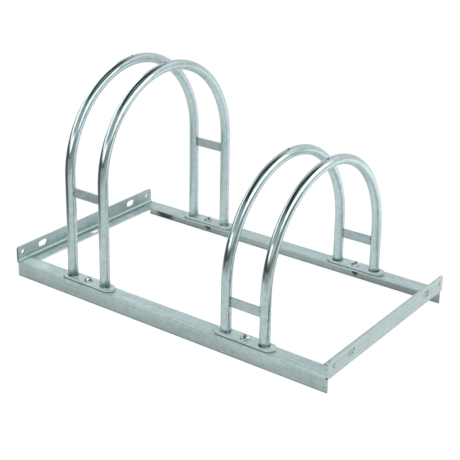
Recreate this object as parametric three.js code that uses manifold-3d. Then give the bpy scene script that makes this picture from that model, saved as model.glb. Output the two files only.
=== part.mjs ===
// Two tier bike rack: an angle steel ground frame that carries a tall and a low pair of bent tube hoops.
// Millimetres, +Z up, +X along the long rails, origin on the ground under the middle of the frame.

import * as THREE from 'three';
import { mergeVertices } from 'three/addons/utils/BufferGeometryUtils.js';
import Module from 'manifold-3d';

// Driving dimensions of the whole rack.
const railLength = 700;
const rackDepth = 400;
const baySpacing = 356;
const pairSpacing = 80;
const tallHeight = 424;
const lowHeight = 315;
const legInset = 16;

// Rolled angle that all four ground rails are cut from: sharp heel, filleted root.
const angle = { wall: 3, root: 4.5 };

// Long ground rails: the hanging flange stands on the ground.
const rail = { height: 30, width: 31 };

// Side rails: the upright flange runs past the ends of the long rails and the lying flange is coped
// to butt between them, flush with their tops.
const side = { height: 31.5, width: 30, cornerRadius: 5.5 };

// Openings punched in each side rail, measured from its ends and its heel.
const punch = {
  slotLength: 24,
  slotHeight: 13,
  slotFromEnd: 68,
  holeDiameter: 9,
  holeFromEnd: 14,
  gauge: 18.5,
  floorSlotLength: 22,
  floorSlotWidth: 11,
  floorGauge: 20,
};

// Hoops: round tube bent to a half circle, with a drain hole drilled in the crown.
const tube = { diameter: 19, wall: 2, ventDiameter: 4.5, ventFromCrown: 8 };

// Round-ended foot plates.
const plate = { length: 122, width: 26, thickness: 5 };

// Flat cross bars between the two legs of a pair.
const bar = { height: 18, thickness: 4, edgeRadius: 1, tallCentre: 203, lowCentre: 93 };

// Bolts through the foot plates, with washers and nuts under the rails.
const bolt = {
  diameter: 8,
  reach: 22,
  headDiameter: 18,
  headHeight: 5.5,
  headRim: 1.2,
  socketWidth: 6,
  socketDepth: 3,
};
const washer = { diameter: 16, thickness: 1.6 };
const nut = { width: 13, thickness: 6.5 };

// Clearances, and the overrun of every cut past the faces it goes through.
const boltClearance = 0.5;
const threadClearance = 0.3;
const barClearance = 0.3;
const overrun = 1;

// Faceting.
const tubeSides = 20;
const bendSteps = 20;
const arcDivisions = 4;
const holeSides = 16;

// Places worked out from the dimensions above.
const railTop = rail.height;
const sideFoot = railTop - angle.wall;
const plateTop = railTop + plate.thickness;
const legLine = rackDepth / 2 - legInset;

const wasm = await Module();
wasm.setup();

const axisX = new THREE.Vector3(1, 0, 0);
const axisY = new THREE.Vector3(0, 1, 0);
const axisZ = new THREE.Vector3(0, 0, 1);

const galvanised = (color, roughness) =>
  new THREE.MeshStandardMaterial({ color, roughness, metalness: 0.75, flatShading: true });

// A closed geometry as a solid that can be cut.
function toSolid(geometry) {
  const bare = geometry.clone();
  bare.deleteAttribute('normal');
  bare.deleteAttribute('uv');
  const welded = mergeVertices(bare);
  return new wasm.Manifold(new wasm.Mesh({
    numProp: 3,
    vertProperties: new Float32Array(welded.attributes.position.array),
    triVerts: new Uint32Array(welded.index.array),
  }));
}

// A cut solid as a geometry again.
function toGeometry(solid) {
  const mesh = solid.getMesh();
  const geometry = new THREE.BufferGeometry();
  geometry.setAttribute('position', new THREE.BufferAttribute(mesh.vertProperties, 3));
  geometry.setIndex(new THREE.BufferAttribute(mesh.triVerts, 1));
  geometry.computeVertexNormals();
  return geometry;
}

function cut(geometry, tools) {
  const solid = tools.reduce((rest, tool) => rest.subtract(toSolid(tool)), toSolid(geometry));
  return toGeometry(solid);
}

// Turns a geometry so that its own x, y and z run along three directions of the rack.
function lay(geometry, alongX, alongY, alongZ) {
  return geometry.applyMatrix4(new THREE.Matrix4().makeBasis(alongX, alongY, alongZ));
}

// A shape extruded to a thickness, centred on its own plane.
function prism(shape, thickness, curveSegments = arcDivisions) {
  const geometry = new THREE.ExtrudeGeometry(shape, { depth: thickness, bevelEnabled: false, curveSegments });
  return geometry.translate(0, 0, -thickness / 2);
}

// An L section with its heel at the origin, one flange along x and one along y.
function angleShape({ height, width }) {
  const { wall, root } = angle;
  const shape = new THREE.Shape();
  shape.moveTo(0, 0);
  shape.lineTo(width, 0);
  shape.lineTo(width, wall);
  shape.absarc(wall + root, wall + root, root, -Math.PI / 2, -Math.PI, true);
  shape.lineTo(wall, height);
  shape.lineTo(0, height);
  shape.closePath();
  return shape;
}

// A straight slot with round ends, long along x. As long as it is wide, it is a round hole.
function slotShape(length, width) {
  const radius = width / 2;
  const reach = length / 2 - radius;
  const shape = new THREE.Shape();
  shape.moveTo(reach, -radius);
  shape.absarc(reach, 0, radius, -Math.PI / 2, Math.PI / 2, false);
  shape.lineTo(-reach, radius);
  shape.absarc(-reach, 0, radius, Math.PI / 2, Math.PI * 1.5, false);
  shape.closePath();
  return shape;
}

// A round tool along z, centred on the origin.
function roundTool(diameter, length) {
  const geometry = new THREE.CylinderGeometry(diameter / 2, diameter / 2, length, holeSides);
  return lay(geometry, axisX, axisZ, axisY.clone().negate());
}

// Long rail, drilled for the two plate bolts. facing is +1 for the front rail, -1 for the rear one.
function railGeometry(facing) {
  const inward = axisY.clone().multiplyScalar(facing);
  const down = axisZ.clone().negate();
  const along = new THREE.Vector3().crossVectors(inward, down);
  const blank = lay(prism(angleShape(rail), railLength), inward, down, along);
  const drills = [-1, 1].map((bay) =>
    roundTool(bolt.diameter + boltClearance * 2, (angle.wall + overrun) * 2)
      .translate(bay * baySpacing / 2, facing * legInset, 0));
  return cut(blank, drills);
}

// What is left of the upright flange's corners once they are rounded, as a tool through the whole section.
function cornerBlank() {
  const half = rackDepth / 2;
  const shoulder = side.height - side.cornerRadius;
  const outline = new THREE.Shape();
  outline.moveTo(-half, 0);
  outline.lineTo(half, 0);
  outline.lineTo(half, shoulder);
  outline.absarc(half - side.cornerRadius, shoulder, side.cornerRadius, 0, Math.PI / 2, false);
  outline.lineTo(side.cornerRadius - half, side.height);
  outline.absarc(side.cornerRadius - half, shoulder, side.cornerRadius, Math.PI / 2, Math.PI, false);
  outline.closePath();
  return lay(prism(outline, (side.width + overrun) * 2), axisY, axisZ, axisX);
}

// Side rail: corners rounded, slots punched, lying flange coped. facing is +1 for the left one, -1 for the right.
function sideGeometry(facing) {
  const inward = axisX.clone().multiplyScalar(facing);
  const along = new THREE.Vector3().crossVectors(inward, axisZ);
  const stock = lay(prism(angleShape(side), rackDepth), inward, axisZ, along);
  const rounded = toGeometry(toSolid(stock).intersect(toSolid(cornerBlank())));

  const half = rackDepth / 2;
  const depth = (angle.wall + overrun) * 2;
  const copeWidth = side.width - angle.wall + overrun;
  const copeLength = rail.width + overrun;
  const copeHeight = angle.wall + overrun;
  const tools = [];
  for (const end of [-1, 1]) {
    const slot = lay(prism(slotShape(punch.slotLength, punch.slotHeight), depth), axisY, axisZ, axisX);
    tools.push(slot.translate(0, end * (half - punch.slotFromEnd), punch.gauge));
    const hole = lay(prism(slotShape(punch.holeDiameter, punch.holeDiameter), depth), axisY, axisZ, axisX);
    tools.push(hole.translate(0, end * (half - punch.holeFromEnd), punch.gauge));
    const cope = new THREE.BoxGeometry(copeWidth, copeLength, copeHeight);
    const copeX = facing * (angle.wall + copeWidth / 2);
    const copeY = end * (half - rail.width + copeLength / 2);
    tools.push(cope.translate(copeX, copeY, angle.wall - copeHeight / 2));
  }
  const floorSlot = prism(slotShape(punch.floorSlotLength, punch.floorSlotWidth), depth);
  lay(floorSlot, axisY, axisX.clone().negate(), axisZ);
  tools.push(floorSlot.translate(facing * punch.floorGauge, 0, 0));
  return cut(rounded, tools);
}

// The centre line of a hoop: up one leg, round a half circle and down the other leg.
class HoopPath extends THREE.Curve {
  constructor(legHeight, radius) {
    super();
    this.legHeight = legHeight;
    this.radius = radius;
    this.steps = bendSteps + 2;
  }

  // Each leg takes one step of the extrusion and the bend takes the rest.
  getUtoTmapping(share) {
    return share;
  }

  getPoint(share, target = new THREE.Vector3()) {
    const step = share * this.steps;
    if (step <= 1) return target.set(0, -this.radius, this.legHeight * step);
    if (step >= this.steps - 1) return target.set(0, this.radius, this.legHeight * (this.steps - step));
    const turn = Math.PI * (1 - (step - 1) / bendSteps);
    return target.set(0, this.radius * Math.cos(turn), this.legHeight + this.radius * Math.sin(turn));
  }
}

// Bent tube that stands on the plates at z = 0, drained through its crown.
function hoopGeometry(height) {
  const radius = legLine;
  const rise = height - plateTop - tube.diameter / 2;
  const path = new HoopPath(rise - radius, radius);
  const section = new THREE.Shape().absarc(0, 0, tube.diameter / 2, 0, Math.PI * 2, false);
  const bore = new THREE.Path().absarc(0, 0, tube.diameter / 2 - tube.wall, 0, Math.PI * 2, true);
  section.holes.push(bore);
  const bent = new THREE.ExtrudeGeometry(section, {
    extrudePath: path,
    steps: path.steps,
    curveSegments: tubeSides / 2,
  });
  const ventReach = tube.diameter / 2 + overrun;
  const vent = roundTool(tube.ventDiameter, ventReach).translate(0, -tube.ventFromCrown, rise + ventReach / 2);
  return cut(bent, [vent]);
}

// Foot plate with round ends and a bolt hole, lying on z = 0.
function plateGeometry() {
  const outline = slotShape(plate.length, plate.width);
  const hole = bolt.diameter / 2 + boltClearance;
  outline.holes.push(new THREE.Path().absarc(0, 0, hole, 0, Math.PI * 2, true));
  return prism(outline, plate.thickness, holeSides / 2).translate(0, 0, plate.thickness / 2);
}

// Flat bar with eased edges, long along x.
function barGeometry() {
  const length = pairSpacing - tube.diameter - barClearance * 2;
  const x = bar.thickness / 2 - bar.edgeRadius;
  const y = bar.height / 2 - bar.edgeRadius;
  const section = new THREE.Shape();
  section.absarc(x, y, bar.edgeRadius, 0, Math.PI / 2, false);
  section.absarc(-x, y, bar.edgeRadius, Math.PI / 2, Math.PI, false);
  section.absarc(-x, -y, bar.edgeRadius, Math.PI, Math.PI * 1.5, false);
  section.absarc(x, -y, bar.edgeRadius, Math.PI * 1.5, Math.PI * 2, false);
  section.closePath();
  return lay(prism(section, length), axisY, axisZ, axisX);
}

// Button head bolt, its head seated on z = 0 and its shank hanging down.
function boltGeometry() {
  const shank = bolt.diameter / 2;
  const head = bolt.headDiameter / 2;
  const crown = bolt.headHeight - bolt.headRim;
  const profile = [
    new THREE.Vector2(0, -bolt.reach),
    new THREE.Vector2(shank, -bolt.reach),
    new THREE.Vector2(shank, 0),
    new THREE.Vector2(head, 0),
  ];
  for (let step = 0; step <= arcDivisions; step += 1) {
    const turn = (Math.PI / 2) * (step / arcDivisions);
    const reach = step === arcDivisions ? 0 : head * Math.cos(turn);
    profile.push(new THREE.Vector2(reach, bolt.headRim + crown * Math.sin(turn)));
  }
  const turned = new THREE.LatheGeometry(profile, holeSides);
  const body = lay(turned, axisX, axisZ, axisY.clone().negate());
  const corner = bolt.socketWidth / Math.sqrt(3);
  const socket = new THREE.CylinderGeometry(corner, corner, (bolt.socketDepth + overrun) * 2, 6);
  lay(socket, axisX, axisZ, axisY.clone().negate());
  socket.translate(0, 0, bolt.headHeight + overrun);
  return cut(body, [socket]);
}

function ringGeometry(outline, thickness, holeDiameter) {
  outline.holes.push(new THREE.Path().absarc(0, 0, holeDiameter / 2, 0, Math.PI * 2, true));
  return prism(outline, thickness, holeSides / 2);
}

function washerGeometry() {
  const outline = new THREE.Shape().absarc(0, 0, washer.diameter / 2, 0, Math.PI * 2, false);
  return ringGeometry(outline, washer.thickness, bolt.diameter + boltClearance * 2);
}

function nutGeometry() {
  const corner = nut.width / Math.sqrt(3);
  const outline = new THREE.Shape();
  for (let step = 0; step < 6; step += 1) {
    const turn = (Math.PI / 3) * step;
    const point = [corner * Math.cos(turn), corner * Math.sin(turn)];
    if (step === 0) outline.moveTo(...point);
    else outline.lineTo(...point);
  }
  outline.closePath();
  return ringGeometry(outline, nut.thickness, bolt.diameter + threadClearance * 2);
}

function addPiece(group, name, geometry, material, x = 0, y = 0, z = 0) {
  const piece = new THREE.Mesh(geometry, material);
  piece.name = name;
  piece.position.set(x, y, z);
  group.add(piece);
}

// Ground frame: two long rails with the side rails across their ends.
function groundFrame() {
  const frame = new THREE.Group();
  const railFinish = () => galvanised(0x9fb3b4, 0.5);
  addPiece(frame, 'rail_front', railGeometry(1), railFinish(), 0, -rackDepth / 2, railTop);
  addPiece(frame, 'rail_rear', railGeometry(-1), railFinish(), 0, rackDepth / 2, railTop);
  const heel = railLength / 2 + angle.wall;
  const sideFinish = () => galvanised(0xa9bcbd, 0.5);
  addPiece(frame, 'side_rail_left', sideGeometry(1), sideFinish(), -heel, 0, sideFoot);
  addPiece(frame, 'side_rail_right', sideGeometry(-1), sideFinish(), heel, 0, sideFoot);
  return frame;
}

// The bolt, washer and nut that hold one foot plate to its rail.
function fasteners(tier, row, y) {
  const group = new THREE.Group();
  const underRail = railTop - angle.wall;
  const washerCentre = underRail - washer.thickness / 2;
  const nutCentre = underRail - washer.thickness - nut.thickness / 2;
  addPiece(group, `bolt_${tier}_${row}`, boltGeometry(), galvanised(0xc3cecf, 0.3), 0, y, plateTop);
  addPiece(group, `washer_${tier}_${row}`, washerGeometry(), galvanised(0xb9c4c5, 0.35), 0, y, washerCentre);
  addPiece(group, `nut_${tier}_${row}`, nutGeometry(), galvanised(0xb4bfc0, 0.4), 0, y, nutCentre);
  return group;
}

// One bay: a pair of hoops on its front and rear foot plates, tied by two cross bars.
function bay(tier, height, barCentre) {
  const group = new THREE.Group();
  for (const [hand, place] of [['left', -1], ['right', 1]]) {
    const x = place * pairSpacing / 2;
    addPiece(group, `hoop_${tier}_${hand}`, hoopGeometry(height), galvanised(0xa6b9bb, 0.35), x, 0, plateTop);
  }
  for (const [row, place] of [['front', -1], ['rear', 1]]) {
    const y = place * legLine;
    addPiece(group, `plate_${tier}_${row}`, plateGeometry(), galvanised(0xb4c4c5, 0.45), 0, y, railTop);
    addPiece(group, `bar_${tier}_${row}`, barGeometry(), galvanised(0xa3b6b7, 0.5), 0, y, barCentre);
    group.add(fasteners(tier, row, y));
  }
  return group;
}

const rack = new THREE.Group();
rack.add(groundFrame());

const tallBay = bay('tall', tallHeight, bar.tallCentre);
tallBay.position.x = -baySpacing / 2;
rack.add(tallBay);

const lowBay = bay('low', lowHeight, bar.lowCentre);
lowBay.position.x = baySpacing / 2;
rack.add(lowBay);

export default rack;
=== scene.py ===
import math

import bmesh
import bpy
from mathutils import Matrix, Vector


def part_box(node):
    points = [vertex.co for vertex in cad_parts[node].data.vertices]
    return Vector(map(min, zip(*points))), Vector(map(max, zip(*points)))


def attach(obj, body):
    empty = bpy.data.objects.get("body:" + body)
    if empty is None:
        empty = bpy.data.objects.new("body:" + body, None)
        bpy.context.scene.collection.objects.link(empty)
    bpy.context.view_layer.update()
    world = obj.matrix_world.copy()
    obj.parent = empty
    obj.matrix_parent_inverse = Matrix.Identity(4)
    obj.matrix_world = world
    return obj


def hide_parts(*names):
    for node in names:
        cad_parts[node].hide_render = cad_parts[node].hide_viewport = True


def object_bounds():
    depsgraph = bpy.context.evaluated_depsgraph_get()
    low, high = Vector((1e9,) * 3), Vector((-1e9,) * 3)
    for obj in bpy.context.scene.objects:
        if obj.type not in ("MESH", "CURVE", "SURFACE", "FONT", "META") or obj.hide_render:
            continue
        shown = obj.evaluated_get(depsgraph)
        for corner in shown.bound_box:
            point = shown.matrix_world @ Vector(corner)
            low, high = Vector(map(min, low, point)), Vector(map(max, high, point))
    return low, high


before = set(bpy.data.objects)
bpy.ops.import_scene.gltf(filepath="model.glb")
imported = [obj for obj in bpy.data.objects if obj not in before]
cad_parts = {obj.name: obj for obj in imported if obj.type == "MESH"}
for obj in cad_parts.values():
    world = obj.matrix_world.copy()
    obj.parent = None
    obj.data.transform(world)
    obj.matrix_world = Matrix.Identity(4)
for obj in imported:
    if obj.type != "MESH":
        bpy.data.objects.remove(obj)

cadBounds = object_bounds()
scene = bpy.context.scene
white = (1, 1, 1, 1)
print("frame loaded:", len(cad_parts), "nodes")


# The view of the rack, from the right and the front and a little above. Angles are in degrees, lens and
# sensor in millimetres, and the shift is a share of the picture's width.
viewPoint = {
    "azimuth": 36.713,
    "elevation": 19.224,
    "roll": 0.648,
    "distance": 2.93025,
    "aim": (-0.51019, 0.64621, 0.0),
    "lens": 88.41,
    "sensor": 36.0,
    "shift": (0.0341, -0.1815),
}


def makeCamera(view):
    azimuth = math.radians(view["azimuth"])
    elevation = math.radians(view["elevation"])
    roll = math.radians(view["roll"])
    ahead = Vector((-math.sin(azimuth) * math.cos(elevation),
                    math.cos(azimuth) * math.cos(elevation),
                    -math.sin(elevation)))
    level = Vector((math.cos(azimuth), math.sin(azimuth), 0))
    upright = level.cross(ahead)
    right = level * math.cos(roll) + upright * math.sin(roll)
    up = upright * math.cos(roll) - level * math.sin(roll)
    data = bpy.data.cameras.new("rackCamera")
    data.lens = view["lens"]
    data.sensor_width = view["sensor"]
    data.shift_x, data.shift_y = view["shift"]
    camera = bpy.data.objects.new("rackCamera", data)
    turn = Matrix((right, up, -ahead)).transposed().to_4x4()
    camera.matrix_world = Matrix.Translation(Vector(view["aim"]) - ahead * view["distance"]) @ turn
    scene.collection.objects.link(camera)
    scene.camera = camera


makeCamera(viewPoint)


# values fills input sockets by name or number, settings are the node's own properties.
def addNode(tree, kind, values=None, **settings):
    node = tree.nodes.new(kind)
    for name, value in settings.items():
        setattr(node, name, value)
    for key, value in (values or {}).items():
        if isinstance(value, bpy.types.NodeSocket):
            tree.links.new(value, node.inputs[key])
        else:
            node.inputs[key].default_value = value
    return node


def addMath(tree, operation, first, second=None):
    values = {0: first} if second is None else {0: first, 1: second}
    return addNode(tree, "ShaderNodeMath", values, operation=operation).outputs[0]


# The length, the distance and the dot product are one number, the other results are vectors.
def addVector(tree, operation, first, second=None):
    values = {0: first} if second is None else {0: first, 1: second}
    outputs = addNode(tree, "ShaderNodeVectorMath", values, operation=operation).outputs
    return outputs["Value" if operation in ("LENGTH", "DISTANCE", "DOT_PRODUCT") else "Vector"]


def addScaled(tree, vector, level):
    return addNode(tree, "ShaderNodeVectorMath", {0: vector, "Scale": level}, operation="SCALE").outputs[0]


def addSplit(tree, vector):
    return addNode(tree, "ShaderNodeSeparateXYZ", {0: vector}).outputs


def addMix(tree, share, low, high):
    return addNode(tree, "ShaderNodeMix", {0: share, 2: low, 3: high}).outputs[0]


# Goes from startLevel at start to endLevel at end, and stays level outside them.
def addRamp(tree, value, start, end, startLevel, endLevel, kind="LINEAR"):
    values = {"Value": value, 1: start, 2: end, 3: startLevel, 4: endLevel}
    return addNode(tree, "ShaderNodeMapRange", values, interpolation_type=kind).outputs[0]


# A smooth step from 0 at start to 1 at end.
def addStep(tree, value, start, end):
    return addRamp(tree, value, start, end, 0.0, 1.0, "SMOOTHSTEP")


def newMaterial(name):
    material = bpy.data.materials.new(name)
    material.use_nodes = True
    material.node_tree.nodes.clear()
    return material, material.node_tree


# The studio as the metal mirrors it: angles in degrees, azimuth from the far side towards the right.
studio = {
    "unlit": 0.06,
    "ceiling": {"azimuth": 90, "half": 52, "low": 62, "high": 120, "soft": 18, "strength": 0.42},
    "backdrop": {"azimuth": -3, "half": 66, "low": -60, "high": 50, "soft": 18, "strength": 0.87},
    "backGlow": {"azimuth": 30, "half": 32, "low": 18, "high": 50, "soft": 14, "strength": 1.24},
    "nearWall": {"azimuth": 160, "half": 62, "low": 8, "high": 58, "soft": 10, "strength": 0.55},
    "nearLamp": {"azimuth": 141, "half": 19, "low": 10, "high": 28, "soft": 7, "strength": 0.95},
    "farWall": {"azimuth": 106, "half": 36, "low": -10, "high": 30, "soft": 6, "strength": 0.32},
}


# How far a direction turns aside from an azimuth, both seen from above.
def addAside(tree, direction, azimuth):
    centre = math.radians(azimuth)
    flat = addVector(tree, "NORMALIZE", addVector(tree, "MULTIPLY", direction, (1, 1, 0)))
    facing = addVector(tree, "DOT_PRODUCT", flat, (math.sin(centre), math.cos(centre), 0))
    return addMath(tree, "ARCCOSINE", facing)


# One inside the azimuths of a sector, seen from above, and nothing outside them.
def addSector(tree, place, sector):
    aside = addAside(tree, place, sector["azimuth"])
    half = math.radians(sector["half"])
    soft = math.radians(sector["soft"])
    return addStep(tree, aside, half + soft, half - soft)


# One lit patch of the studio: full inside its angles, fading to nothing past its soft edge.
def addPatch(tree, direction, patch):
    inWidth = addSector(tree, direction, patch)
    soft = math.radians(patch["soft"])
    rise = addMath(tree, "ARCSINE", addSplit(tree, direction)["Z"])
    low = math.radians(patch["low"])
    high = math.radians(patch["high"])
    overLow = addStep(tree, rise, low - soft, low + soft)
    underHigh = addStep(tree, rise, high + soft, high - soft)
    inside = addMath(tree, "MULTIPLY", addMath(tree, "MULTIPLY", overLow, underHigh), inWidth)
    return addMath(tree, "MULTIPLY", inside, patch["strength"])


# The camera sees plain white, and everything else the brightest patch in its direction.
def makeStudio(look):
    world = bpy.data.worlds.new("studio")
    world.use_nodes = True
    tree = world.node_tree
    tree.nodes.clear()
    place = addNode(tree, "ShaderNodeTexCoord").outputs["Generated"]
    direction = addVector(tree, "NORMALIZE", place)
    level = look["unlit"]
    for patch in look.values():
        if isinstance(patch, dict):
            level = addMath(tree, "MAXIMUM", level, addPatch(tree, direction, patch))
    strength = addMix(tree, addNode(tree, "ShaderNodeLightPath").outputs["Is Camera Ray"], level, 1.0)
    lit = addNode(tree, "ShaderNodeBackground", {"Color": white, "Strength": strength})
    addNode(tree, "ShaderNodeOutputWorld", {"Surface": lit.outputs[0]})
    scene.world = world


makeStudio(studio)

# The floor is white paper that runs on up the back wall: at its other edges the metal stops mirroring white.
# In the metal it also has a shade in front on the left and a lamp's pool behind on the right.
paper = {
    "size": 40.0,
    "colour": (0.8, 0.8, 0.8, 1),
    "seenColour": (0.22, 0.22, 0.22, 1),
    "ownLight": 0.92,
    "edge": 0.95,
    "fade": 0.4,
    "mirrored": 0.92,
    "beyond": 0.14,
    "back": {"azimuth": -7, "half": 87, "soft": 10},
    "nearFloor": {"azimuth": 140, "half": 66, "soft": 16, "strength": 0.5},
    "shade": {"place": (-0.8, -0.65, 0.0), "radius": 0.45, "soft": 0.18, "strength": 0.15},
    "pool": {"place": (0.95, 0.74, 0.0), "radius": 0.58, "soft": 0.2, "strength": 1.45},
}


# How bright the metal mirrors each place of the floor.
def addMirroredLevel(tree, look):
    place = addNode(tree, "ShaderNodeTexCoord").outputs["Object"]
    reach = addVector(tree, "LENGTH", place)
    nearPaper = addStep(tree, reach, look["edge"] + look["fade"], look["edge"] - look["fade"])
    onPaper = addMath(tree, "MAXIMUM", nearPaper, addSector(tree, place, look["back"]))
    nearFloor = look["nearFloor"]
    nearSide = addMath(tree, "MULTIPLY", addSector(tree, place, nearFloor), nearFloor["strength"])
    offPaper = addMath(tree, "MAXIMUM", nearSide, look["beyond"])
    level = addMix(tree, onPaper, offPaper, look["mirrored"])
    for patch in (look["shade"], look["pool"]):
        away = addVector(tree, "DISTANCE", place, patch["place"])
        inside = addStep(tree, away, patch["radius"] + patch["soft"], patch["radius"] - patch["soft"])
        level = addMix(tree, inside, level, patch["strength"])
    return level


def makeFloor(look):
    bpy.ops.mesh.primitive_plane_add(size=look["size"])
    floor = bpy.context.object
    floor.name = "floorPaper"
    material, tree = newMaterial("floorPaper")
    rays = addNode(tree, "ShaderNodeLightPath").outputs
    matt = addNode(tree, "ShaderNodeBsdfDiffuse", {"Color": look["colour"]})
    glow = addNode(tree, "ShaderNodeEmission", {"Color": white, "Strength": look["ownLight"]})
    faint = addNode(tree, "ShaderNodeBsdfDiffuse", {"Color": look["seenColour"]})
    seen = addNode(tree, "ShaderNodeAddShader", {0: faint.outputs[0], 1: glow.outputs[0]})
    inMetal = addNode(tree, "ShaderNodeEmission", {"Color": white, "Strength": addMirroredLevel(tree, look)})
    direct = addMath(tree, "MAXIMUM", rays["Is Camera Ray"], rays["Is Transmission Ray"])
    plain = addNode(tree, "ShaderNodeMixShader", {0: direct, 1: matt.outputs[0], 2: seen.outputs[0]})
    whole = addNode(tree, "ShaderNodeMixShader",
                    {0: rays["Is Glossy Ray"], 1: plain.outputs[0], 2: inMetal.outputs[0]})
    addNode(tree, "ShaderNodeOutputMaterial", {"Surface": whole.outputs[0]})
    floor.data.materials.append(material)


makeFloor(paper)

# Lit cards stand close beside the rack, as the bends mirror them: reach gives their x, y and z.
cards = {
    "cardRight": {"reach": ((0.54, 0.54), (-0.45, 0.44), (0.44, 1.07)), "soft": 0.05, "strength": 1.8},
    "cardLeft": {"reach": ((-0.50, -0.50), (-0.80, 0.15), (0.40, 0.84)), "soft": 0.05, "strength": 1.65},
    "cardNear": {"reach": ((-0.40, 0.22), (-1.05, -1.05), (0.38, 0.68)), "soft": 0.05, "strength": 1.75},
}


# A card's mesh is larger than its reach by the soft edge, and the card is clear where it gives no light.
def makeCard(name, card):
    reach = card["reach"]
    soft = card["soft"]
    flat = [axis for axis in range(3) if reach[axis][0] == reach[axis][1]][0]
    wide = 1 - flat
    corners = []
    for sideways, upward in ((0, 0), (1, 0), (1, 1), (0, 1)):
        corner = [reach[flat][0]] * 3
        corner[wide] = reach[wide][sideways] + soft * (2 * sideways - 1)
        corner[2] = reach[2][upward] + soft * (2 * upward - 1)
        corners.append(corner)
    mesh = bpy.data.meshes.new(name)
    mesh.from_pydata(corners, [], [(0, 1, 2, 3)])
    material, tree = newMaterial(name)
    split = addSplit(tree, addNode(tree, "ShaderNodeTexCoord").outputs["Object"])
    level = card["strength"]
    for axis in (wide, 2):
        start, end = reach[axis]
        level = addMath(tree, "MULTIPLY", addStep(tree, split[axis], start - soft, start + soft), level)
        level = addMath(tree, "MULTIPLY", addStep(tree, split[axis], end + soft, end - soft), level)
    glow = addNode(tree, "ShaderNodeEmission", {"Color": white, "Strength": level})
    clear = addNode(tree, "ShaderNodeBsdfTransparent")
    both = addNode(tree, "ShaderNodeAddShader", {0: glow.outputs[0], 1: clear.outputs[0]})
    addNode(tree, "ShaderNodeOutputMaterial", {"Surface": both.outputs[0]})
    mesh.materials.append(material)
    stand = bpy.data.objects.new(name, mesh)
    scene.collection.objects.link(stand)
    stand.visible_camera = False
    stand.visible_transmission = False
    stand.visible_shadow = False


for cardName, card in cards.items():
    makeCard(cardName, card)
print("studio and floor made")


# What all zinc finishes share: the noises' detail, the clouds' span that sets the roughness, and the part
# of a local tone or of local painted shade that has its full share.
zincGrain = {
    "streakDetail": 3,
    "cloudDetail": 4,
    "grainDetail": 2,
    "cloudLow": 0.3,
    "cloudHigh": 0.7,
    "toneCore": 0.45,
}


def addNoise(tree, vector, scale, detail):
    values = {"Vector": vector, "Scale": scale, "Detail": detail}
    return addNode(tree, "ShaderNodeTexNoise", values).outputs["Fac"]


# Streaks, clouds and crystals mixed by their shares, and spread from 0 to 1.
def addSpread(tree, solid, streaks, clouds, look):
    crystals = addNode(tree, "ShaderNodeTexVoronoi",
                       {"Vector": solid, "Scale": look["crystalScale"]}).outputs["Color"]
    tone = addMath(tree, "MULTIPLY", streaks, look["streakShare"])
    tone = addMath(tree, "ADD", tone, addMath(tree, "MULTIPLY", clouds, look["cloudShare"]))
    crystal = addMath(tree, "MULTIPLY", addSplit(tree, crystals)["X"], look["crystalShare"])
    tone = addMath(tree, "ADD", tone, crystal)
    middle = (look["streakShare"] + look["cloudShare"] + look["crystalShare"]) / 2
    return addStep(tree, tone, middle * (1 - look["contrastShare"]), middle * (1 + look["contrastShare"]))


# A place near a box: corner is 0 at its low side and 1 at its high side on each axis, and offset goes on.
def placeBy(box, corner, offset):
    low, high = box
    return [start + (end - start) * share + extra
            for start, end, share, extra in zip(low, high, corner, offset)]


# Painted shade and painted light, with a few plain tones, multiply the colour by their share. Height
# shading fades out between from and to, and local shading and tones towards the skin of an ellipsoid
# that is placed by the box.
def addShadingAndTones(tree, solid, colour, look, box):
    height = addSplit(tree, solid)["Z"]
    for tone in look.get("paintedHeightShading", ()):
        level = addRamp(tree, height, tone["from"], tone["to"], tone["share"], 1.0)
        colour = addScaled(tree, colour, level)
    for tone in look.get("localShadingAndTones", ()):
        aside = addVector(tree, "SUBTRACT", solid, placeBy(box, tone["corner"], tone["offset"]))
        away = addVector(tree, "LENGTH", addVector(tree, "DIVIDE", aside, tone["size"]))
        level = addRamp(tree, away, zincGrain["toneCore"], 1.0, tone["share"], 1.0, "SMOOTHSTEP")
        colour = addScaled(tree, colour, level)
    return colour


def addRoughness(tree, solid, clouds, look):
    rough = addRamp(tree, clouds, zincGrain["cloudLow"], zincGrain["cloudHigh"],
                    look["roughLow"], look["roughHigh"])
    for place in look.get("roughPlaces", ()):
        reach = addSplit(tree, solid)[place["axis"]]
        more = addMath(tree, "MULTIPLY", addStep(tree, reach, place["from"], place["to"]), place["extra"])
        rough = addMath(tree, "ADD", rough, more)
    return rough
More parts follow.
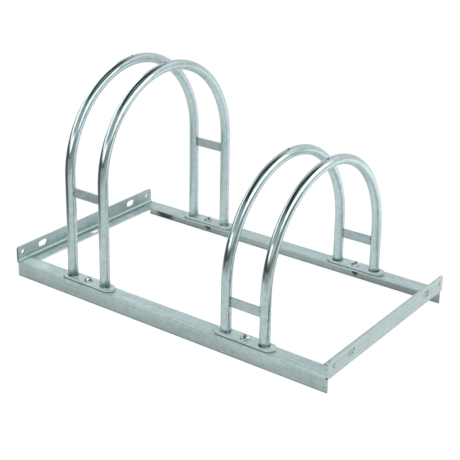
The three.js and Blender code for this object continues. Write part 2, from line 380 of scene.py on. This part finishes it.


# Hot-dip zinc: cool grey crystals, faint streaks along the piece, cloudy patches and a slightly uneven skin,
# with the painted shade and painted light that the look lists.
def zincFinish(name, look, box=cadBounds):
    material, tree = newMaterial(name)
    solid = addNode(tree, "ShaderNodeTexCoord").outputs["Object"]
    along = solid
    if "follows" in look:
        along = addNode(tree, "ShaderNodeAttribute", attribute_name=look["follows"]).outputs["Vector"]
    stretched = addNode(tree, "ShaderNodeMapping", {"Vector": along, "Scale": look["streakScale"]}).outputs[0]
    streaks = addNoise(tree, stretched, 1, zincGrain["streakDetail"])
    clouds = addNoise(tree, solid, look["cloudScale"], zincGrain["cloudDetail"])
    grain = addNoise(tree, solid, look["grainScale"], zincGrain["grainDetail"])
    spread = addSpread(tree, solid, streaks, clouds, look)
    colour = addNode(tree, "ShaderNodeMix", {0: spread, 6: look["dark"], 7: look["light"]},
                     data_type="RGBA").outputs[2]
    skin = addMath(tree, "ADD", addMath(tree, "MULTIPLY", grain, look["grainShare"]), streaks)
    bump = addNode(tree, "ShaderNodeBump",
                   {"Strength": look["bump"], "Distance": look["skinDepth"], "Height": skin})
    zinc = addNode(tree, "ShaderNodeBsdfPrincipled", {
        "Base Color": addShadingAndTones(tree, solid, colour, look, box),
        "Metallic": look["metallic"],
        "Roughness": addRoughness(tree, solid, clouds, look),
        "Normal": bump.outputs[0],
    })
    addNode(tree, "ShaderNodeOutputMaterial", {"Surface": zinc.outputs[0]})
    return material


# Puts the shape that the modifiers give into the piece's own mesh.
def settle(piece):
    graph = bpy.context.evaluated_depsgraph_get()
    shown = piece.evaluated_get(graph)
    mesh = bpy.data.meshes.new_from_object(shown, preserve_all_data_layers=True, depsgraph=graph)
    piece.modifiers.clear()
    piece.data = mesh
    mesh.name = piece.name
    return piece


# rail_front becomes railFront.
def pieceName(node):
    first, *others = node.split("_")
    return first + "".join(word.title() for word in others)


def newPiece(name, mesh):
    piece = bpy.data.objects.new(name, mesh)
    scene.collection.objects.link(piece)
    return piece


def finishPiece(piece, slot, *nodes):
    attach(piece, "root")
    if nodes:
        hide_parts(*nodes)


# A geometry node tree with named inputs: each is a label and the kind of its socket.
def newTree(name, inputs):
    tree = bpy.data.node_groups.new(name, "GeometryNodeTree")
    tree.is_modifier = True
    tree.interface.new_socket(name="Geometry", in_out="INPUT", socket_type="NodeSocketGeometry")
    for label, kind in inputs.items():
        tree.interface.new_socket(name=label, in_out="INPUT", socket_type="NodeSocket" + kind)
    tree.interface.new_socket(name="Geometry", in_out="OUTPUT", socket_type="NodeSocketGeometry")
    return tree, tree.nodes.new("NodeGroupInput").outputs


def endTree(tree, geometry, material):
    smooth = addNode(tree, "GeometryNodeSetShadeSmooth", {"Geometry": geometry})
    real = addNode(tree, "GeometryNodeRealizeInstances", {"Geometry": smooth.outputs[0]})
    dressed = addNode(tree, "GeometryNodeSetMaterial", {"Geometry": real.outputs[0], "Material": material})
    addNode(tree, "NodeGroupOutput", {"Geometry": dressed.outputs[0]})


def growPiece(name, carrier, tree, values):
    piece = newPiece(name, carrier)
    grown = piece.modifiers.new("grown", "NODES")
    grown.node_group = tree
    for item in tree.interface.items_tree:
        if item.in_out == "INPUT" and item.name in values:
            grown[item.identifier] = values[item.name]
    return piece


# A mesh of bare lines: each path is a list of points, joined end to start where it is closed.
def lineMesh(name, paths, closed=False):
    points = []
    edges = []
    for path in paths:
        first = len(points)
        points += path
        edges += [(first + step, first + step + 1) for step in range(len(path) - 1)]
        if closed:
            edges.append((len(points) - 1, first))
    mesh = bpy.data.meshes.new(name)
    mesh.from_pydata(points, edges, [])
    return mesh


hoopTube = {
    "diameter": 0.019,
    "wall": 0.002,
    "bendSteps": 96,
    "legSteps": 8,
    "sides": 64,
    "ventDiameter": 0.0045,
    "ventFromCrown": 0.008,
    "ventSides": 24,
}

# Painted shade darkens each leg's foot where it meets the plate; painted light makes the feet brighter above
# the weld and the rear legs lighter, and both are duller than the bends.
hoopFinish = {
    "follows": "tubeMap",
    "dark": (0.38, 0.475, 0.48, 1),
    "light": (0.56, 0.68, 0.685, 1),
    "contrastShare": 0.34,
    "streakScale": (520, 520, 12),
    "cloudScale": 90,
    "crystalScale": 300,
    "grainScale": 900,
    "streakShare": 1.0,
    "cloudShare": 0.45,
    "crystalShare": 0.12,
    "grainShare": 0.3,
    "roughLow": 0.11,
    "roughHigh": 0.18,
    "bump": 0.05,
    "skinDepth": 0.0002,
    "metallic": 1.0,
    "paintedHeightShading": (
        {"from": 0.035, "to": 0.0365, "share": 0.5},
        {"from": 0.038, "to": 0.058, "share": 1.22},
    ),
    "localShadingAndTones": (
        {"corner": (0.5, 1, 0), "offset": (0, -0.01, 0.15), "size": (2, 0.16, 0.5), "share": 1.19},
    ),
    "roughPlaces": (
        {"axis": "Y", "from": -0.05, "to": 0.15, "extra": 0.2},
        {"axis": "Z", "from": 0.066, "to": 0.042, "extra": 0.28},
    ),
}
# The tube's inside is painted shade: near black, as the bore lies in shade behind the vent holes.
boreShadeFinish = dict(hoopFinish, dark=(0.02, 0.024, 0.024, 1), light=(0.05, 0.06, 0.06, 1), metallic=0.3,
                  roughLow=0.7, roughHigh=0.9, paintedHeightShading=())


# A round tube along the carrier's lines, with its unrolled place kept for the streaks.
def tubeTree():
    tree, given = newTree("bentTube", {"Radius": "Float", "Sides": "Int", "Material": "Material"})
    curve = addNode(tree, "GeometryNodeMeshToCurve", {"Mesh": given["Geometry"]})
    path = tree.nodes.new("GeometryNodeCaptureAttribute")
    path.capture_items.new("FLOAT", "Along")
    tree.links.new(curve.outputs[0], path.inputs["Geometry"])
    tree.links.new(addNode(tree, "GeometryNodeSplineParameter").outputs["Length"], path.inputs["Along"])
    circle = addNode(tree, "GeometryNodeCurvePrimitiveCircle",
                     {"Resolution": given["Sides"], "Radius": given["Radius"]})
    section = tree.nodes.new("GeometryNodeCaptureAttribute")
    section.capture_items.new("VECTOR", "Round")
    tree.links.new(circle.outputs[0], section.inputs["Geometry"])
    tree.links.new(addNode(tree, "GeometryNodeInputPosition").outputs[0], section.inputs["Round"])
    tube = addNode(tree, "GeometryNodeCurveToMesh",
                   {"Curve": path.outputs["Geometry"], "Profile Curve": section.outputs["Geometry"]})
    around = addSplit(tree, section.outputs["Round"])
    unrolled = addNode(tree, "ShaderNodeCombineXYZ",
                       {"X": around["X"], "Y": around["Y"], "Z": path.outputs["Along"]})
    kept = addNode(tree, "GeometryNodeStoreNamedAttribute",
                   {"Geometry": tube.outputs[0], "Name": "tubeMap", "Value": unrolled.outputs[0]},
                   data_type="FLOAT_VECTOR", domain="POINT")
    endTree(tree, kept.outputs[0], given["Material"])
    return tree


# The centre line of a hoop, from its box: up one leg, round a half circle, down the other leg.
def hoopLine(node, sizes):
    low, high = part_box(node)
    tube = sizes["diameter"] / 2
    x = (low.x + high.x) / 2
    bend = high.y - tube
    spring = high.z - tube - bend
    rise = [low.z + (spring - low.z) * step / sizes["legSteps"] for step in range(sizes["legSteps"])]
    turns = [math.pi * step / sizes["bendSteps"] for step in range(sizes["bendSteps"] + 1)]
    legUp = [(x, -bend, z) for z in rise]
    arc = [(x, -bend * math.cos(turn), spring + bend * math.sin(turn)) for turn in turns]
    legDown = [(x, bend, z) for z in reversed(rise)]
    return legUp + arc + legDown


# The drain hole goes through the crown's upper wall, just in front of the top.
def drillVent(piece, node, sizes):
    low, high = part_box(node)
    bpy.ops.mesh.primitive_cylinder_add(
        vertices=sizes["ventSides"], radius=sizes["ventDiameter"] / 2, depth=sizes["diameter"],
        location=((low.x + high.x) / 2, -sizes["ventFromCrown"], high.z))
    drill = bpy.context.object
    hole = piece.modifiers.new("vent", "BOOLEAN")
    hole.object = drill
    hole.operation = "DIFFERENCE"
    settle(piece)
    bpy.data.objects.remove(drill)


def makeHoops(sizes, finish, boreShade):
    tree = tubeTree()
    skin = zincFinish("hoopZinc", finish)
    bore = zincFinish("boreShadeZinc", boreShade)
    for tier in ("tall", "low"):
        for hand in ("left", "right"):
            node = f"hoop_{tier}_{hand}"
            name = pieceName(node)
            carrier = lineMesh(name, [hoopLine(node, sizes)])
            values = {"Radius": sizes["diameter"] / 2, "Sides": sizes["sides"], "Material": skin}
            hoop = settle(growPiece(name, carrier, tree, values))
            hoop.data.materials.append(bore)
            wall = hoop.modifiers.new("wall", "SOLIDIFY")
            wall.thickness = sizes["wall"]
            wall.offset = -1
            wall.material_offset = 1
            drillVent(hoop, node, sizes)
            finishPiece(hoop, "galvanised_tube", node)


makeHoops(hoopTube, hoopFinish, boreShadeFinish)
print("hoops bent")


edgeEasing = {
    "weld": 0.000002,
    "flatAngle": 1.0,
    "width": 0.0005,
    "segments": 2,
    "sharpAngle": 40.0,
}


# Angle steel and flat steel keep the frame's shape, with the soft edges that a zinc bath leaves.
def easedCopy(node, name, edge, material):
    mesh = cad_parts[node].data.copy()
    mesh.name = name
    edit = bmesh.new()
    edit.from_mesh(mesh)
    bmesh.ops.remove_doubles(edit, verts=edit.verts, dist=edge["weld"])
    bmesh.ops.dissolve_limit(edit, angle_limit=math.radians(edge["flatAngle"]),
                             verts=edit.verts, edges=edit.edges)
    for face in edit.faces:
        face.smooth = True
    edit.to_mesh(mesh)
    edit.free()
    mesh.materials.clear()
    mesh.materials.append(material)
    piece = newPiece(name, mesh)
    bevel = piece.modifiers.new("eased", "BEVEL")
    bevel.width = edge["width"]
    bevel.segments = edge["segments"]
    bevel.limit_method = "ANGLE"
    bevel.angle_limit = math.radians(edge["sharpAngle"])
    weighted = piece.modifiers.new("shading", "WEIGHTED_NORMAL")
    weighted.keep_sharp = False
    return settle(piece)


# Painted shade: the long rails are darker towards the ground, with a dark line at the bottom edge, and their
# faces below the top flange are darker than the top.
railFinish = {
    "dark": (0.49, 0.635, 0.63, 1),
    "light": (0.70, 0.865, 0.86, 1),
    "contrastShare": 0.34,
    "streakScale": (8, 400, 400),
    "cloudScale": 30,
    "crystalScale": 160,
    "grainScale": 700,
    "streakShare": 1.0,
    "cloudShare": 0.55,
    "crystalShare": 0.2,
    "grainShare": 0.6,
    "roughLow": 0.34,
    "roughHigh": 0.46,
    "bump": 0.16,
    "skinDepth": 0.0003,
    "metallic": 0.62,
    "paintedHeightShading": (
        {"from": 0.0, "to": 0.003, "share": 0.5},
        {"from": 0.0, "to": 0.028, "share": 0.7},
        {"from": 0.0285, "to": 0.0298, "share": 0.84},
    ),
}

# Painted shade along the crease at the left end, a light patch on its top, painted light on the right end
# and a small dark spot there.
frontFinish = dict(railFinish, localShadingAndTones=(
    {"corner": (0, 0, 1), "offset": (0.0015, 0.2, 0), "size": (0.007, 1, 0.004), "share": 0.55},
    {"corner": (0, 0, 1), "offset": (0.028, 0.014, 0), "size": (0.05, 0.02, 0.004), "share": 1.3},
    {"corner": (1, 0, 0), "offset": (0.02, 0, 0.014), "size": (0.20, 0.004, 0.08), "share": 1.14},
    {"corner": (1, 0, 1), "offset": (0, 0, -0.0035), "size": (0.005, 0.005, 0.003), "share": 0.15},
))

# Painted shade along the crease at the left end, then on the inner face a near black patch of painted shade
# and two darker lower edges of painted shade.
rearFinish = dict(railFinish, localShadingAndTones=(
    {"corner": (0, 1, 1), "offset": (0.0015, -0.2, 0), "size": (0.007, 1, 0.004), "share": 0.55},
    {"corner": (0, 1, 0), "offset": (0.043, -0.003, 0.009), "size": (0.030, 0.003, 0.013), "share": 0.16},
    {"corner": (0, 1, 0), "offset": (0.11, -0.003, 0), "size": (0.14, 0.003, 0.012), "share": 0.74},
    {"corner": (1, 1, 0), "offset": (-0.07, -0.003, 0.004), "size": (0.17, 0.003, 0.015), "share": 0.8},
))

sideFinish = dict(railFinish, streakScale=(400, 8, 400), paintedHeightShading=(),
                  dark=(0.56, 0.68, 0.685, 1), light=(0.71, 0.84, 0.845, 1))

# Painted shade: the left side rail's upright is darker, and so are the line past its root and its front end.
leftFinish = dict(
    sideFinish, dark=(0.53, 0.67, 0.67, 1), light=(0.73, 0.885, 0.885, 1),
    paintedHeightShading=({"from": 0.035, "to": 0.032, "share": 0.76},),
    localShadingAndTones=(
        {"corner": (0, 0.5, 0), "offset": (0.0105, 0, 0.004), "size": (0.0055, 1, 0.005), "share": 0.5},
        {"corner": (0, 0, 0), "offset": (0.0015, 0, 0.018), "size": (0.004, 0.0022, 0.03), "share": 0.35},
    ))


def makeGroundFrame(edge):
    for row, finish in (("front", frontFinish), ("rear", rearFinish)):
        node = f"rail_{row}"
        rail = easedCopy(node, pieceName(node), edge, zincFinish(f"{row}RailZinc", finish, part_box(node)))
        finishPiece(rail, "galvanised_angle", node)
    for hand, finish in (("left", leftFinish), ("right", sideFinish)):
        node = f"side_rail_{hand}"
        side = easedCopy(node, pieceName(node), edge, zincFinish(f"{hand}SideZinc", finish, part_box(node)))
        finishPiece(side, "galvanised_angle", node)


makeGroundFrame(edgeEasing)

# Painted shade: a dark line runs round the foot of each plate, where it sits on the rail.
plateFinish = dict(railFinish, streakScale=(30, 120, 120), metallic=0.4,
                   dark=(0.576, 0.7168, 0.7168, 1), light=(0.768, 0.9216, 0.9216, 1),
                   paintedHeightShading=({"from": 0.030, "to": 0.0322, "share": 0.12},))
barFinish = dict(plateFinish, dark=(0.43, 0.55, 0.55, 1), light=(0.57, 0.70, 0.70, 1), paintedHeightShading=())


def makeFlats(edge):
    finishes = {"plate": zincFinish("plateZinc", plateFinish), "bar": zincFinish("barZinc", barFinish)}
    for tier in ("tall", "low"):
        for row in ("front", "rear"):
            for kind, zinc in finishes.items():
                node = f"{kind}_{tier}_{row}"
                finishPiece(easedCopy(node, pieceName(node), edge, zinc), "galvanised_flat", node)


makeFlats(edgeEasing)
print("rails, plates and bars dressed")


weldBead = {
    "radius": 0.0013,
    "step": 0.0004,
    "ripple": 0.16,
    "pitch": 0.0021,
    "lump": 0.0009,
    "lumpScale": 260.0,
    "sides": 14,
    "footGap": 0.0002,
    "circleSteps": 48,
    "barInset": 0.001,
    "seamInset": 0.002,
    "footSeed": 0,
    "barSeed": 10,
    "seamSeed": 20,
}
seamBead = dict(weldBead, radius=0.0009, lump=0.0006)

weldFinish = {
    "dark": (0.05, 0.065, 0.067, 1),
    "light": (0.66, 0.77, 0.775, 1),
    "contrastShare": 0.24,
    "streakScale": (300, 300, 300),
    "cloudScale": 75,
    "crystalScale": 400,
    "grainScale": 1400,
    "streakShare": 0.5,
    "cloudShare": 1.0,
    "crystalShare": 0.3,
    "grainShare": 0.8,
    "roughLow": 0.30,
    "roughHigh": 0.5,
    "bump": 0.35,
    "skinDepth": 0.0004,
    "metallic": 0.9,
}
seamFinish = dict(weldFinish, dark=(0.34, 0.41, 0.415, 1), light=(0.58, 0.68, 0.685, 1))


# A weld bead along the carrier's lines, swelling at each ripple and a little lumpy.
def weldTree():
    tree, given = newTree("weldBead", {
        "Radius": "Float", "Step": "Float", "Ripple": "Float", "Pitch": "Float",
        "Lump": "Float", "Lump Scale": "Float", "Sides": "Int", "Seed": "Float", "Material": "Material",
    })
    curve = addNode(tree, "GeometryNodeMeshToCurve", {"Mesh": given["Geometry"]})
    even = addNode(tree, "GeometryNodeResampleCurve", {"Curve": curve.outputs[0], "Length": given["Step"]},
                   mode="LENGTH")
    length = addNode(tree, "GeometryNodeSplineParameter").outputs["Length"]
    phase = addMath(tree, "MULTIPLY", addMath(tree, "DIVIDE", length, given["Pitch"]), math.tau)
    wave = addMath(tree, "MULTIPLY", addMath(tree, "SINE", phase), given["Ripple"])
    swell = addMath(tree, "ADD", wave, 1.0)
    circle = addNode(tree, "GeometryNodeCurvePrimitiveCircle",
                     {"Resolution": given["Sides"], "Radius": given["Radius"]})
    bead = addNode(tree, "GeometryNodeCurveToMesh", {
        "Curve": even.outputs[0], "Profile Curve": circle.outputs[0], "Scale": swell, "Fill Caps": True})
    noise = addNode(tree, "ShaderNodeTexNoise", {"W": given["Seed"], "Scale": given["Lump Scale"]},
                    noise_dimensions="4D")
    centred = addVector(tree, "SUBTRACT", noise.outputs["Color"], (0.5, 0.5, 0.5))
    shift = addScaled(tree, centred, given["Lump"])
    lumpy = addNode(tree, "GeometryNodeSetPosition", {"Geometry": bead.outputs[0], "Offset": shift})
    endTree(tree, lumpy.outputs[0], given["Material"])
    return tree


def ringPath(centre, radius, steps):
    turns = [math.tau * step / steps for step in range(steps)]
    return [(centre[0] + radius * math.cos(turn), centre[1] + radius * math.sin(turn), centre[2])
            for turn in turns]


def growWeld(name, tree, paths, closed, seed, bead, material):
    values = {
        "Radius": bead["radius"], "Step": bead["step"], "Ripple": bead["ripple"], "Pitch": bead["pitch"],
        "Lump": bead["lump"], "Lump Scale": bead["lumpScale"], "Sides": bead["sides"],
        "Seed": float(seed), "Material": material,
    }
    weld = settle(growPiece(name, lineMesh(name, paths, closed), tree, values))
    finishPiece(weld, "galvanised_tube")


# Each leg has a ring of weld on its plate, and each bar an upright seam at its four corners.
def makeHoopWelds(bead, sizes, tree, skin):
    tube = sizes["diameter"] / 2
    for number, tier in enumerate(("tall", "low")):
        rings = []
        seams = []
        for hand in ("left", "right"):
            low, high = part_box(f"hoop_{tier}_{hand}")
            x = (low.x + high.x) / 2
            leg = high.y - tube
            for y in (-leg, leg):
                rings.append(ringPath((x, y, low.z), tube + bead["footGap"], bead["circleSteps"]))
        for row in ("front", "rear"):
            low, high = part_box(f"bar_{tier}_{row}")
            for x in (low.x, high.x):
                for y in (low.y, high.y):
                    seams.append([(x, y, low.z + bead["barInset"]), (x, y, high.z - bead["barInset"])])
        growWeld(f"footWelds{tier.title()}", tree, rings, True, bead["footSeed"] + number, bead, skin)
        growWeld(f"barWelds{tier.title()}", tree, seams, False, bead["barSeed"] + number, bead, skin)


# Each long rail is welded to the side rails: along the upright flange, and across the end of the lying one.
def makeCornerWelds(bead, tree, skin):
    inset = bead["seamInset"]
    for number, row in enumerate(("front", "rear")):
        low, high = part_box(f"rail_{row}")
        top = high.z
        inner = high.y if row == "front" else low.y
        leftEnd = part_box("side_rail_left")[1].x - inset
        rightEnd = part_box("side_rail_right")[0].x + inset
        paths = []
        for end, reach in ((low.x, leftEnd), (high.x, rightEnd)):
            paths.append([(end, low.y + inset, top), (end, high.y - inset, top)])
            paths.append([(end, inner, top), (reach, inner, top)])
        growWeld(f"cornerWelds{row.title()}", tree, paths, False, bead["seamSeed"] + number, bead, skin)


beadTree = weldTree()
makeHoopWelds(weldBead, hoopTube, beadTree, zincFinish("weldZinc", weldFinish))
makeCornerWelds(seamBead, beadTree, zincFinish("seamZinc", seamFinish))
print("welds laid")


# Painted shade: the shanks are dark below the rails' top flange, where they stand in its shade.
boltFinish = {
    "dark": (0.50, 0.60, 0.605, 1),
    "light": (0.72, 0.83, 0.835, 1),
    "contrastShare": 0.3,
    "streakScale": (200, 200, 200),
    "cloudScale": 200,
    "crystalScale": 500,
    "grainScale": 1500,
    "streakShare": 0.5,
    "cloudShare": 0.8,
    "crystalShare": 0.1,
    "grainShare": 0.5,
    "roughLow": 0.14,
    "roughHigh": 0.24,
    "bump": 0.08,
    "skinDepth": 0.0002,
    "metallic": 1.0,
    "paintedHeightShading": ({"from": 0.029, "to": 0.031, "share": 0.18},),
}

# Washers and nuts are painted shade: as dark as the photograph shows them in the shade under the rear rail.
nutShadeFinish = dict(boltFinish, dark=(0.0234, 0.0288, 0.0297, 1), light=(0.0504, 0.0594, 0.0603, 1),
                 roughLow=0.4, roughHigh=0.6, paintedHeightShading=())


def makeFasteners():
    boltZinc = zincFinish("boltZinc", boltFinish)
    nutShadeZinc = zincFinish("nutShadeZinc", nutShadeFinish)
    for kind, zinc in (("bolt", boltZinc), ("washer", nutShadeZinc), ("nut", nutShadeZinc)):
        for tier in ("tall", "low"):
            for row in ("front", "rear"):
                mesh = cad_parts[f"{kind}_{tier}_{row}"].data
                mesh.materials.clear()
                mesh.materials.append(zinc)


makeFasteners()
print("fasteners dressed")

scene.view_settings.view_transform = "Standard"
